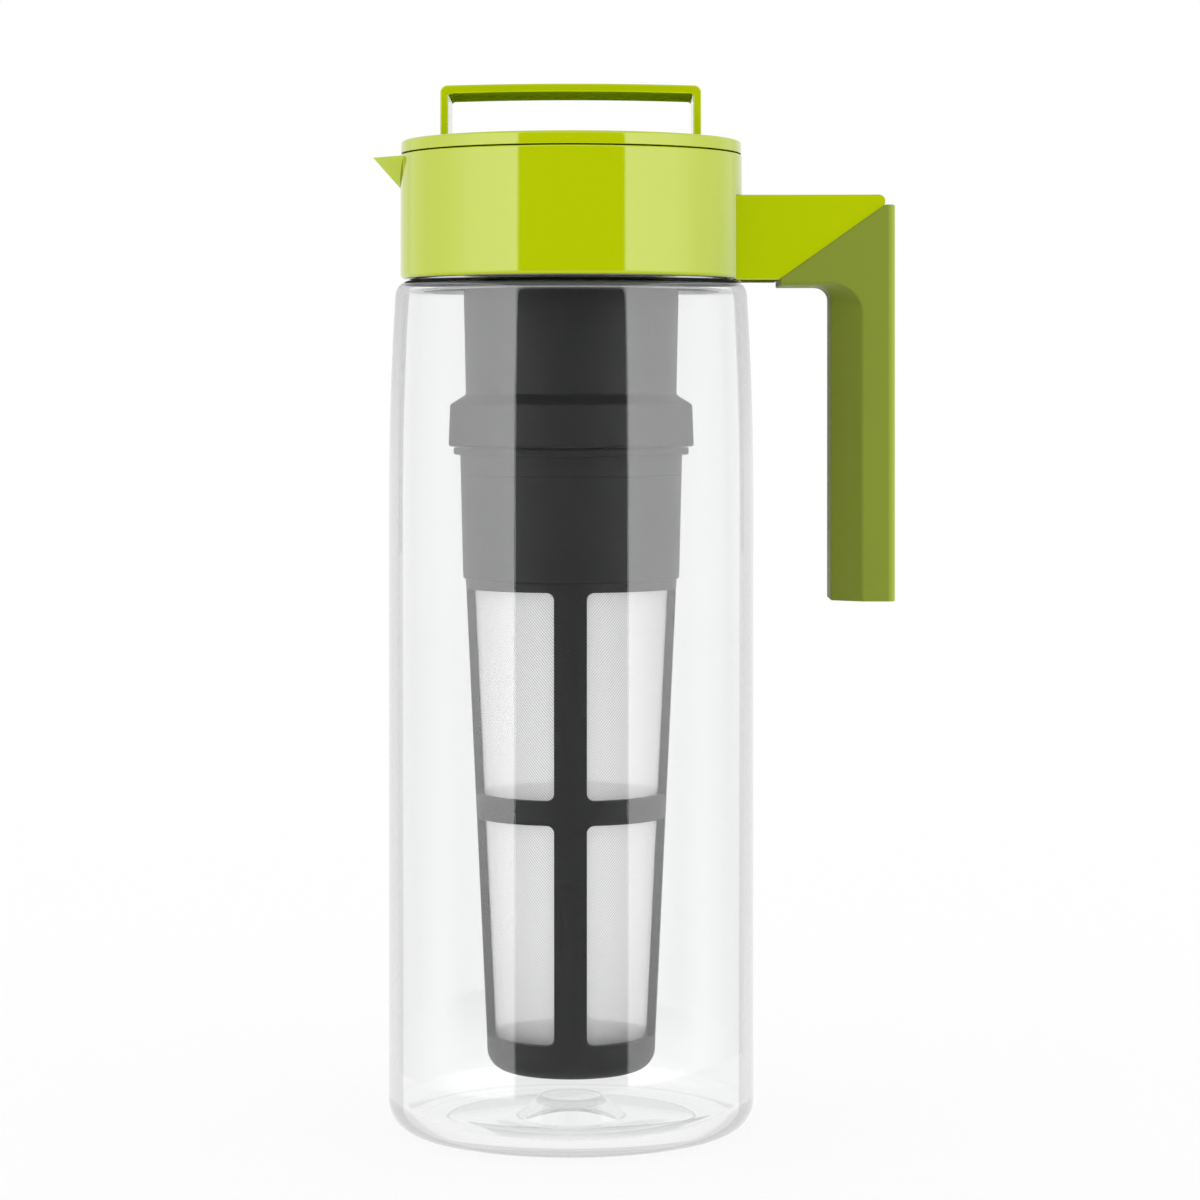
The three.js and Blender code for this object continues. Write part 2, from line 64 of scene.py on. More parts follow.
def rounded(corners):
    # corners (x, z, fillet), as points with an arc in place of each filleted corner
    points = []
    for i, corner in enumerate(corners):
        here = Vector(corner[:2])
        fillet = corner[2] if len(corner) > 2 else 0
        if not fillet:
            points.append(here)
            continue
        back = (Vector(corners[i - 1][:2]) - here).normalized()
        ahead = (Vector(corners[(i + 1) % len(corners)][:2]) - here).normalized()
        half = back.angle(ahead) / 2
        centre = here + (back + ahead).normalized() * fillet / sin(half)
        start = here + back * fillet / tan(half) - centre
        end = here + ahead * fillet / tan(half) - centre
        sweep = -start.angle_signed(end)
        steps = max(3, ceil(abs(sweep) / arcStep))
        points += [centre + Matrix.Rotation(sweep * k / steps, 2) @ start for k in range(steps + 1)]
    return points


def lathe(corners, segments=192, ridge=None):
    # a closed profile turned about the jug's axis; ridge(angle, radius, z) adds to the radius
    shape = bmesh.new()
    rings = []
    for radius, z in rounded(corners):
        if radius < tolerance:
            rings.append([shape.verts.new((0, 0, z))])
            continue
        ring = []
        for i in range(segments):
            angle = 2 * pi * i / segments
            r = radius + (ridge(angle, radius, z) if ridge else 0)
            ring.append(shape.verts.new((r * cos(angle), r * sin(angle), z)))
        rings.append(ring)
    for low, high in zip(rings, rings[1:] + rings[:1]):
        for i in range(segments):
            j = (i + 1) % segments
            around = (low[i % len(low)], low[j % len(low)], high[j % len(high)], high[i % len(high)])
            face = list(dict.fromkeys(around))
            if len(face) > 2:
                shape.faces.new(face)
    return shape


def slab(corners, width):
    # a side outline of (x, z, fillet), made as wide as width along y
    shape = bmesh.new()
    outline = rounded(corners)
    front = [shape.verts.new((x, -width / 2, z)) for x, z in outline]
    back = [shape.verts.new((x, width / 2, z)) for x, z in outline]
    shape.faces.new(front)
    shape.faces.new(back[::-1])
    for i in range(len(front)):
        shape.faces.new((front[i], front[i - 1], back[i - 1], back[i]))
    return shape


def hull(points):
    shape = bmesh.new()
    bmesh.ops.convex_hull(shape, input=[shape.verts.new(p) for p in points])
    return shape


def block(xs, ys, zs):
    shape = hull([(x, y, z) for x in xs for y in ys for z in zs])
    bmesh.ops.dissolve_limit(shape, angle_limit=radians(1), verts=shape.verts, edges=shape.edges)
    return shape


def sector(inner, outer, middle, width, bottom, height):
    # a stretch of a ring, middle and width in degrees
    shape = bmesh.new()
    steps = 10
    turns = [radians(middle - width / 2 + width * k / steps) for k in range(steps + 1)]
    flat = [(outer * cos(t), outer * sin(t)) for t in turns]
    flat += [(inner * cos(t), inner * sin(t)) for t in reversed(turns)]
    low = [shape.verts.new((x, y, bottom)) for x, y in flat]
    high = [shape.verts.new((x, y, bottom + height)) for x, y in flat]
    shape.faces.new(low[::-1])
    shape.faces.new(high)
    for i in range(len(low)):
        shape.faces.new((low[i - 1], low[i], high[i], high[i - 1]))
    return shape


def solid(name, shape):
    # the shape in metres, in the shared frame
    bmesh.ops.recalc_face_normals(shape, faces=shape.faces)
    mesh = bpy.data.meshes.new(name)
    shape.to_mesh(mesh)
    shape.free()
    mesh.transform(Matrix.Translation((axisX, 0, 0)) @ Matrix.Scale(1 / metre, 4))
    made = bpy.data.objects.new(name, mesh)
    bpy.context.scene.collection.objects.link(made)
    return made


def settle(piece):
    # modifiers become mesh
    ready = piece.evaluated_get(bpy.context.evaluated_depsgraph_get())
    mesh = bpy.data.meshes.new_from_object(ready)
    old = piece.data
    piece.modifiers.clear()
    piece.data = mesh
    mesh.name = piece.name
    bpy.data.meshes.remove(old)


def carve(piece, tools, operation="DIFFERENCE"):
    for tool in tools:
        step = piece.modifiers.new("carve", "BOOLEAN")
        step.operation = operation
        step.solver = "EXACT"
        step.object = tool
    settle(piece)
    for tool in tools:
        bpy.data.objects.remove(tool)


def soften(piece, width, segments=3, angle=25):
    step = piece.modifiers.new("soften", "BEVEL")
    step.width = width / metre
    step.segments = segments
    step.limit_method = "ANGLE"
    step.angle_limit = radians(angle)
    step.miter_outer = "MITER_ARC"
    settle(piece)


def place(piece, body, slot, material, *nodes, sharp=30, even=False):
    # finish, motion and the CAD nodes that the piece stands for
    piece.data.materials.clear()
    piece.data.materials.append(material)
    piece.data.shade_smooth()
    piece.data.set_sharp_from_angle(angle=radians(sharp))
    if even:
        step = piece.modifiers.new("even", "WEIGHTED_NORMAL")
        step.keep_sharp = True
    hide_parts(*nodes)
    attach(piece, body)
    print("piece:", piece.name, len(piece.data.polygons), "faces")


# Materials


def grey(tone):
    return (tone, tone, tone, 1)


def shade(colour, level):
    return (*(c * level for c in colour), 1)


class Wire:
    # a socket that takes part in Python sums, and the maker of every node
    def __init__(self, tree, socket=None):
        self.tree = tree
        self.socket = socket

    def node(self, kind, settings=None, sockets=None, out=0):
        made = self.tree.nodes.new("ShaderNode" + kind)
        for name, value in (settings or {}).items():
            if name == "stops":
                while len(made.color_ramp.elements) < len(value):
                    made.color_ramp.elements.new(1)
                for stop, (at, tone) in zip(made.color_ramp.elements, value):
                    stop.position = at
                    stop.color = grey(tone)
            else:
                setattr(made, name, value)
        for name, value in (sockets or {}).items():
            if isinstance(value, Wire):
                self.tree.links.new(value.socket, made.inputs[name])
            else:
                made.inputs[name].default_value = value
        return Wire(self.tree, made.outputs[out] if made.outputs else None)

    def math(self, operation, first, second=0.0):
        return self.node("Math", {"operation": operation}, {0: first, 1: second})

    def __add__(self, other):
        return self.math("ADD", self, other)

    def __sub__(self, other):
        return self.math("SUBTRACT", self, other)

    def __rsub__(self, other):
        return self.math("SUBTRACT", other, self)

    def __mul__(self, other):
        return self.math("MULTIPLY", self, other)

    def __gt__(self, other):
        return self.math("GREATER_THAN", self, other)

    def __lt__(self, other):
        return self.math("LESS_THAN", self, other)

    __radd__ = __add__
    __rmul__ = __mul__

    def tint(self, share, first, second):
        # from the first colour to the second
        return self.node("Mix", {"data_type": "RGBA"}, {0: share, 6: first, 7: second}, out=2)

    def dimmed(self, level):
        # a colour times a number
        return self.node("VectorMath", {"operation": "SCALE"}, {0: self, "Scale": level})


def startMaterial(name):
    material = bpy.data.materials.new(name)
    material.use_nodes = True
    material.node_tree.nodes.clear()
    return material, Wire(material.node_tree)


def noise(paint, scale, detail=2, stretch=(1, 1, 1)):
    spot = paint.node("TexCoord", out="Object")
    if stretch != (1, 1, 1):
        spot = paint.node("VectorMath", {"operation": "MULTIPLY"}, {0: spot, 1: stretch})
    return paint.node("TexNoise", {}, {"Vector": spot, "Scale": scale, "Detail": detail}, out="Fac")


def along(paint, axes, kind="Object"):
    # the place on the piece, or with kind Normal the way that its face looks, along each of the axes
    spot = paint.node("TexCoord", out=kind)
    return [paint.node("SeparateXYZ", {}, {0: spot}, out=axis) for axis in axes]


def graded(paint, value, reach, levels=(0, 1)):
    # from the first level to the second while the value crosses its reach
    names = ("From Min", "From Max", "To Min", "To Max")
    return paint.node("MapRange", {}, {"Value": value, **dict(zip(names, (*reach, *levels)))})


def bump(paint, height, distance):
    return paint.node("Bump", {}, {"Strength": 1, "Distance": distance, "Height": height})


# Moulded plastics and rubber: colour and its drift, roughness and its unevenness,
# the grain's count per metre and its depth in metres
# paintedSideLight: painted shade and light, shares of the colour on faces that look towards the jug, to
# the front and away from the jug
# under: painted light, the share of the colour on faces that look down
# hollow: painted shade, the share of the colour that is left in the dark between the collar and the neck
# mirrored: a painted reflection, the grey that a gloss shows in the piece's place, or 0 for nothing, to
# keep the jug untinted
finishesAndPaintedLight = {
    "limeGloss": dict(
        colour=(0.485, 0.592, 0.0), drift=0.02, rough=0.075, uneven=0.03,
        grain=420, depth=0.000002, ior=1.5,
    ),
    "oliveSoft": dict(
        colour=(0.222, 0.278, 0.028), drift=0.06, rough=0.5, uneven=0.14,
        grain=3200, depth=0.00002, ior=1.25, paintedSideLight=(0.66, 1.0, 1.82), mirrored=0,
    ),
    "charcoalSatin": dict(
        colour=(0.029, 0.029, 0.03), drift=0.12, rough=0.55, uneven=0.12,
        grain=2400, depth=0.000008, ior=1.36, mirrored=0,
    ),
    "paleSilicone": dict(
        colour=(0.76, 0.78, 0.75), drift=0.03, rough=0.42, uneven=0.1,
        grain=1500, depth=0.00001, ior=1.41,
    ),
}
# copies of the lime: the arm unseen in reflections, the strap with painted light under it, and the collar
# with painted shade inside and a painted dark reflection
finishesAndPaintedLight["limeArm"] = dict(finishesAndPaintedLight["limeGloss"], mirrored=0)
finishesAndPaintedLight["limeStrap"] = dict(finishesAndPaintedLight["limeGloss"], under=1.6)
finishesAndPaintedLight["limeCollar"] = dict(
    finishesAndPaintedLight["limeGloss"], mirrored=0.04, hollow=dict(radii=(47.5, 51.3), top=286, share=0.2)
)
mottleLook = dict(cloud=35, detail=3, cloudShare=0.6)


def paintedHollowShade(paint, hollow):
    # painted shade: the colour's share inside the collar's bore below its ledge, and 1 elsewhere
    x, y, z = along(paint, "XYZ")
    across = x - axisX
    radius = paint.math("SQRT", across * across + y * y) * metre
    low, high = hollow["radii"]
    inside = (radius > low) * (radius < high)
    under = z * metre < hollow["top"]
    return 1 - (1 - hollow["share"]) * inside * under


def mouldedPlastic(name):
    look = finishesAndPaintedLight[name]
    material, paint = startMaterial(name)
    cloud = noise(paint, mottleLook["cloud"], mottleLook["detail"])
    grain = noise(paint, look["grain"], mottleLook["detail"])
    # the grain's pits are a little darker and duller than its crests
    share = mottleLook["cloudShare"]
    mottle = share * cloud + (1 - share) * grain
    drift = look["drift"]
    colour = paint.tint(mottle, shade(look["colour"], 1 - drift), shade(look["colour"], 1 + drift))
    # painted shade on faces that look towards the jug and painted light on faces that look away from it
    if "paintedSideLight" in look:
        towards, front, away = look["paintedSideLight"]
        [facing] = along(paint, "X", "Normal")
        shadedTowardsJug = paint.math("MINIMUM", facing, 0.0) * (front - towards)
        litAwayFromJug = paint.math("MAXIMUM", facing, 0.0) * (away - front)
        colour = colour.dimmed(front + shadedTowardsJug + litAwayFromJug)
    # painted light on faces that look down
    if "under" in look:
        [facing] = along(paint, "Z", "Normal")
        colour = colour.dimmed(1 - paint.math("MINIMUM", facing, 0.0) * (look["under"] - 1))
    # painted shade inside the collar below its ledge
    if "hollow" in look:
        colour = colour.dimmed(paintedHollowShade(paint, look["hollow"]))
    rough = look["rough"] + look["uneven"] * (mottle - 0.5)
    surface = paint.node("BsdfPrincipled", {}, {
        "Base Color": colour,
        "Roughness": rough,
        "IOR": look["ior"],
        "Normal": bump(paint, grain, look["depth"]),
    })
    # painted reflection: a gloss shows a flat grey, or nothing, in the piece's place
    if "mirrored" in look:
        tone = look["mirrored"]
        if tone:
            other = paint.node("BsdfDiffuse", {}, {"Color": grey(tone)})
        else:
            other = paint.node("BsdfTransparent")
        glossy = paint.node("LightPath", out="Glossy Depth") > 0.5
        surface = paint.node("MixShader", {}, {0: glossy, 1: surface, 2: other})
    paint.node("OutputMaterial", {}, {"Surface": surface})
    return material


# Clear plastic: a little clearer low down as painted light, with a painted darker edge, heights and depth
# in metres
# lost: light that has met too many glosses ends in a tone, the first, painted light, below lostZ and the
# second, painted shade, above
clearLook = dict(
    colour=(0.903, 0.908, 0.906), haze=(0.883, 0.888, 0.886), ior=1.45, rough=0.004, scuff=0.03,
    flow=16, flowStretch=(1, 1, 0.35), depth=0.000004, scratches=260, scratchStretch=(1, 1, 0.2),
    smear=[(0.55, 0), (0.8, 1)], density=7, clearZ=(0.008, 0.15), clearLevels=(1.085, 1),
    edgeFrom=0.616, edgeLevel=0.65, lostAfter=2.5, lostZ=(0.2, 0.25), lostLight=(0.85, 0.02),
)


def clearPlastic():
    material, paint = startMaterial("clearPlastic")
    flow = noise(paint, clearLook["flow"], stretch=clearLook["flowStretch"])
    scuff = noise(paint, clearLook["scratches"], detail=4, stretch=clearLook["scratchStretch"])
    smear = paint.node("ValToRGB", {"stops": clearLook["smear"]}, {"Fac": scuff})
    [height] = along(paint, "Z")
    # painted light: the glass is a little clearer low down
    level = graded(paint, height, clearLook["clearZ"], clearLook["clearLevels"])
    # painted shade: the glass is darker near its edge as the camera sees it
    facing = paint.node("LayerWeight", {}, {"Blend": 0.5}, out="Facing")
    edge = (facing > clearLook["edgeFrom"]) * paint.node("LightPath", out="Is Camera Ray")
    level = level * (1 - (1 - clearLook["edgeLevel"]) * edge)
    colour = paint.tint(flow, shade(clearLook["haze"], 1), shade(clearLook["colour"], 1))
    surface = paint.node("BsdfPrincipled", {}, {
        "Base Color": colour.dimmed(level),
        "Roughness": clearLook["rough"] + clearLook["scuff"] * smear,
        "IOR": clearLook["ior"],
        "Transmission Weight": 1,
        "Normal": bump(paint, flow, clearLook["depth"]),
    })
    # lamps and soft light reach what is inside
    unseen = paint.node("BsdfTransparent")
    shadow = paint.node("LightPath", out="Is Shadow Ray")
    soft = paint.node("LightPath", out="Is Diffuse Ray")
    passing = paint.math("MAXIMUM", shadow, soft)
    both = paint.node("MixShader", {}, {0: passing, 1: surface, 2: unseen})
    # painted light and shade where light has met too many glosses: pale low down, dark higher up
    lost = paint.node("LightPath", out="Glossy Depth") > clearLook["lostAfter"]
    pale, dark = (
        paint.node("Emission", {}, {"Color": grey(tone), "Strength": 1}) for tone in clearLook["lostLight"]
    )
    upper = graded(paint, height, clearLook["lostZ"])
    end = paint.node("MixShader", {}, {0: upper, 1: pale, 2: dark})
    both = paint.node("MixShader", {}, {0: lost, 1: both, 2: end})
    smoke = paint.node("VolumeAbsorption", {}, {"Color": (0, 0, 0, 1), "Density": clearLook["density"]})
    paint.node("OutputMaterial", {}, {"Surface": both, "Volume": smoke})
    material.cycles.emission_sampling = "NONE"
    return material


# Woven mesh: the depth of its threads in metres, a faint painted glow, and painted light that grows from
# the cup's rim over its reach
weaveLook = dict(
    thread=0.985, shadow=0.74, rough=0.75, crestRough=0.2, ior=1.4, pitch=0.87, lean=0.855,
    warp=0.32, weft=0.18, weftPitch=1.9, depth=0.00012, cover=0.385, open=0.3,
    glow=0.3, glowFade=(1.19, 0.915), start=0.1, reach=40,
    lit=[(0.09, 0.04), (0.1, 0.6), (0.2, 0.84), (0.26, 0.92), (0.6, 0.965), (1, 1)],
)


def wovenMesh():
    # diagonal twill that leans away from the ribs, with light between its threads
    material, paint = startMaterial("wovenMesh")
    x, y, z = along(paint, "XYZ")
    across = x - axisX
    angle = paint.math("ABSOLUTE", paint.math("ARCTAN2", across, 0 - y))
    around = angle * paint.math("SQRT", across * across + y * y) * metre
    up = z * metre
    turn = 2 * pi / weaveLook["pitch"]
    lines = paint.math("SINE", (up * weaveLook["lean"] - around) * turn)
    cross = paint.math("SINE", (up + around * weaveLook["lean"]) * (turn * weaveLook["weftPitch"]))
    height = 0.5 + weaveLook["warp"] * lines + weaveLook["weft"] * cross
    # painted shade: little light comes through near the cup and none inside it
    rim = span("infuser_cage")[2][0] + cageSize["cupHeight"]
    above = (up - rim) * (1 / weaveLook["reach"]) + weaveLook["start"]
    lit = paint.node("ValToRGB", {"stops": weaveLook["lit"]}, {"Fac": above})
    colour = paint.tint(height, grey(weaveLook["shadow"]), grey(weaveLook["thread"]))
    fade, steep = weaveLook["glowFade"]
    # the colour carries the painted shade near the cup, and a painted glow is strongest at the front and
    # fades around the sides
    surface = paint.node("BsdfPrincipled", {}, {
        "Base Color": colour.dimmed(lit),
        "Roughness": weaveLook["rough"] - weaveLook["crestRough"] * height,
        "Alpha": weaveLook["cover"] + weaveLook["open"] * (height - 0.5),
        "IOR": weaveLook["ior"],
        "Emission Color": paint.math("MAXIMUM", fade - steep * angle, 0.0) * lit,
        "Emission Strength": weaveLook["glow"],
        "Normal": bump(paint, height, weaveLook["depth"]),
    })
    paint.node("OutputMaterial", {}, {"Surface": surface})
    material.cycles.emission_sampling = "NONE"
    return material


lime = mouldedPlastic("limeGloss")
armLime = mouldedPlastic("limeArm")
strapLime = mouldedPlastic("limeStrap")
collarLime = mouldedPlastic("limeCollar")
olive = mouldedPlastic("oliveSoft")
charcoal = mouldedPlastic("charcoalSatin")
silicone = mouldedPlastic("paleSilicone")
clear = clearPlastic()
print("materials:", len(bpy.data.materials))


# Screw thread of neck and collar: one turn that runs out at both ends

thread = dict(pitch=6, depth=1.3, width=1.8, crest=0.9, runOut=14, fineness=0.45)


def threadRidge(wall, start, side):
    # side is 1 on an outside wall and -1 in a bore
    flank = (thread["width"] - thread["crest"]) / 2

    def ridge(angle, radius, z):
        if abs(radius - wall) > tolerance:
            return 0
        turn = angle / (2 * pi)
        away = abs(z - start - thread["pitch"] * turn)
        rise = min(1, max(0, (thread["width"] / 2 - away) / flank))
        fade = min(1, thread["runOut"] * turn, thread["runOut"] * (1 - turn))
        return side * thread["depth"] * rise * fade

    return ridge


def threadRings(wall, start):
    count = ceil((thread["pitch"] + thread["width"]) / thread["fineness"])
    bottom = start - thread["width"] / 2
    return [(wall, bottom + thread["fineness"] * k) for k in range(count + 1)]


# Clear jug with foot ring, stepped floor, soft shoulder and threaded neck

jugSize = dict(
    wall=2.5, heel=9.2, footWidth=8.3, footLift=1, floorTop=4, floorWall=3,
    domeRadius=16.5, domeTop=9.5, domeRise=6, domeFillet=0.9,
    taperFrom=185, taperTo=252, taperDepth=1.9, taperPower=2.2, taperSteps=12,
    shoulderZ=257.6, shoulderRadius=53.2, shoulderFillet=4.4, neckInset=8.2, neckWall=2.5,
    threadLift=9, rimFillet=0.6, footFillet=0.3,
)


def jugSide(radius):
    # the side narrows softly towards the shoulder
    s = jugSize
    steps = [k / s["taperSteps"] for k in range(s["taperSteps"] + 1)]
    reach = s["taperTo"] - s["taperFrom"]
    return [(radius - s["taperDepth"] * t ** s["taperPower"], s["taperFrom"] + reach * t) for t in steps]


def makeJug():
    s = jugSize
    (left, right), _, (_, top) = span("jug")
    radius = (right - left) / 2
    wall = s["wall"]
    footInner = radius - s["heel"] - s["footWidth"]
    neck = radius - s["neckInset"]
    bore = neck - s["neckWall"]
    start = s["shoulderZ"] + s["threadLift"]
    domeTop = s["floorTop"] + s["domeRise"]
    under = s["shoulderZ"] - wall
    corners = [
        (0, domeTop - s["floorWall"]),
        (s["domeTop"], domeTop - s["floorWall"], s["domeFillet"]),
        (s["domeRadius"], s["footLift"], s["domeFillet"]),
        (footInner - s["footLift"], s["footLift"]),
        (footInner, 0, s["footFillet"]),
        (radius, 0, s["heel"]),
        *jugSide(radius),
        (s["shoulderRadius"], s["shoulderZ"], s["shoulderFillet"]),
        (neck, s["shoulderZ"], s["rimFillet"]),
        *threadRings(neck, start),
        (neck, top, s["rimFillet"]),
        (bore, top, s["rimFillet"]),
        (bore, under, s["rimFillet"]),
        (s["shoulderRadius"] - wall, under, s["shoulderFillet"] - wall),
        *reversed(jugSide(radius - wall)),
        (radius - wall, s["floorTop"], s["heel"] - wall),
        (s["domeRadius"], s["floorTop"], s["domeFillet"]),
        (s["domeTop"], domeTop, s["domeFillet"]),
        (0, domeTop),
    ]
    jug = solid("clearJug", lathe(corners, segments=224, ridge=threadRidge(neck, start, 1)))
    place(jug, "jug", "clear_body", clear, "jug", sharp=50, even=True)


makeJug()


# Soft rings: the flat gasket on the neck and the beaded seal in the lid's groove

ringSize = dict(gasketFillet=0.35, gasketInset=0.2, sealThickness=1.1, beadFillet=0.5)


def makeRings():
    _, (_, outer), (bottom, top) = span("neck_gasket")
    inner = outer - jugSize["neckWall"] + 2 * ringSize["gasketInset"]
    fillet = ringSize["gasketFillet"]
    gasket = solid("neckGasket", lathe([
        (inner, bottom, fillet), (outer, bottom, fillet), (outer, top, fillet), (inner, top, fillet),
    ]))
    place(gasket, "neck_seal", "silicone", silicone, "neck_gasket")
    _, (_, outer), (bottom, top) = span("lid_seal")
    inner = outer - ringSize["sealThickness"]
    bead = (outer - inner) / 2
    seal = solid("lidSeal", lathe([
        (inner, bottom), (outer - bead, bottom), (outer, (bottom + top) / 2, ringSize["beadFillet"]),
        (outer - bead, top), (inner, top),
    ]))
    place(seal, "lid_ring", "silicone", silicone, "lid_seal")


makeRings()


# Lime collar with its pouring spout

collarSize = dict(
    wall=3, footFillet=1.5, rimFillet=0.6, rimWall=3.4, rimHeight=7.25, ledgeThickness=2.4, ledgeBore=43,
    spoutHalf=13, spoutDepth=10.2, tipDrop=0.5, spoutWall=1.5, spoutEdge=0.3, threadDrop=2.2,
    pocketDepth=1.6, pocketHalf=8.3,
)
over = 2  # how far a cutter runs past a face


def beak(radius, top, tip, wall, root, openUp):
    # the spout itself, or its channel when it has a wall and is open upward
    s = collarSize
    half = s["spoutHalf"] - wall
    sideX = -sqrt(radius ** 2 - half ** 2)
    sideZ = top - s["rimFillet"]
    keel = top - s["spoutDepth"] + wall
    points = [
        (tip + 2 * wall, 0, top - s["tipDrop"]),
        (-radius, 0, keel),
        (root - radius, 0, keel),
        (sideX, -half, sideZ),
        (sideX, half, sideZ),
        (sideX + root, -half, sideZ),
        (sideX + root, half, sideZ),
    ]
    return hull(points + [(x, y, z + openUp) for x, y, z in points if openUp])


def makeCollar():
    s = collarSize
    (tip, _), (_, radius), (bottom, top) = span("collar")
    bore = radius - s["wall"]
    ledgeTop = top - s["rimHeight"]
    ledgeFoot = ledgeTop - s["ledgeThickness"]
    start = jugSize["shoulderZ"] + jugSize["threadLift"] - s["threadDrop"]
    rimBore = radius - s["rimWall"]
    fine = s["rimFillet"] / 2
    ring = lathe([
        (bore, bottom, fine),
        (radius, bottom, s["footFillet"]),
        (radius, top, s["rimFillet"]),
        (rimBore, top, fine),
        (rimBore, ledgeTop),
        (s["ledgeBore"], ledgeTop, fine),
        (s["ledgeBore"], ledgeFoot, fine),
        (bore, ledgeFoot),
        *reversed(threadRings(bore, start)),
    ], segments=256, ridge=threadRidge(bore, start, -1))
    collar = solid("spoutCollar", ring)
    spout = solid("spout", beak(radius, top, tip, 0, s["rimWall"] / 2, 0))
    soften(spout, s["spoutEdge"])
    carve(collar, [spout], "UNION")
    channel = solid("channel", beak(radius, top, tip, s["spoutWall"], s["rimWall"] + over, over))
    half = s["pocketHalf"]
    middle = armFoot() + armSize["height"] / 2
    heights = (middle - half, middle + half)
    pocket = block((radius - s["pocketDepth"], radius + over), (-half, half), heights)
    carve(collar, [channel, solid("pocket", pocket)])
    place(collar, "collar", "lime_gloss", collarLime, "collar")


# Lime arm of the handle: a slanting bracket with a tongue in the collar and a core down the grip

armSize = dict(
    height=25.6, width=31, seamFoot=62.6, endHeight=2.9, endFillet=2, edge=0.6, edgeSteps=4,
    gap=0.01, tongueHalf=8, coreDepth=9, coreWidth=13, coreDrop=0.8, gripDepth=19.1,
)


def armFoot():
    _, _, (_, top) = span("handle_arm")
    return top - armSize["height"]


def makeArm():
    s = armSize
    (_, end), _, (coreFoot, top) = span("handle_arm")
    _, (_, radius), _ = span("collar")
    bottom = armFoot()
    seamTop = top - s["endHeight"]
    root = collarSize["ledgeBore"]
    shape = slab([
        (root, bottom),
        (s["seamFoot"], bottom),
        (end, seamTop),
        (end, top, s["endFillet"]),
        (root, top),
    ], s["width"])

    def showing(edge):
        # along the front or the back, but not at the seam with the grip
        a, b = (v.co for v in edge.verts)
        slants = abs(a.x - b.x) > 1 and abs(a.z - b.z) > 1
        return abs(a.y - b.y) < tolerance and not slants

    bmesh.ops.bevel(
        shape, geom=[e for e in shape.edges if showing(e)], offset=s["edge"],
        segments=s["edgeSteps"], profile=0.5, affect="EDGES",
    )
    bracket = solid("handleArm", shape)
    room, low, high = radius + s["gap"], bottom - over, top + over
    space = lathe([(0, low), (room, low), (room, high), (0, high)], segments=256)
    carve(bracket, [solid("space", space)])
    middle = bottom + s["height"] / 2
    half = s["tongueHalf"]
    tongueX = radius - collarSize["pocketDepth"] + s["gap"]
    tongue = block((tongueX, radius + over), (-half, half), (middle - half, middle + half))
    (_, gripEnd), _, _ = span("handle_grip")
    coreX = gripEnd - s["gripDepth"] / 2
    core = block(
        (coreX - s["coreDepth"] / 2, coreX + s["coreDepth"] / 2),
        (-s["coreWidth"] / 2, s["coreWidth"] / 2),
        (coreFoot, seamTop - s["coreDrop"]),
    )
    carve(bracket, [solid("tongue", tongue), solid("core", core)], "UNION")
    place(bracket, "collar", "lime_gloss", armLime, "handle_arm", even=True)


makeCollar()
makeArm()


# Olive grip: a flat face, a long taper along the inner edges and a bevel along the outer ones

gripSize = dict(
    lipReach=-0.4, lip=1.7, innerFillet=4, taperDepth=9.2, taperWidth=7, lipEdge=0.9, creaseDrop=8,
    creaseEnd=77, outerEdge=2.4, outerSteps=5, edge=0.4, curveSteps=10, coreLift=6,
)


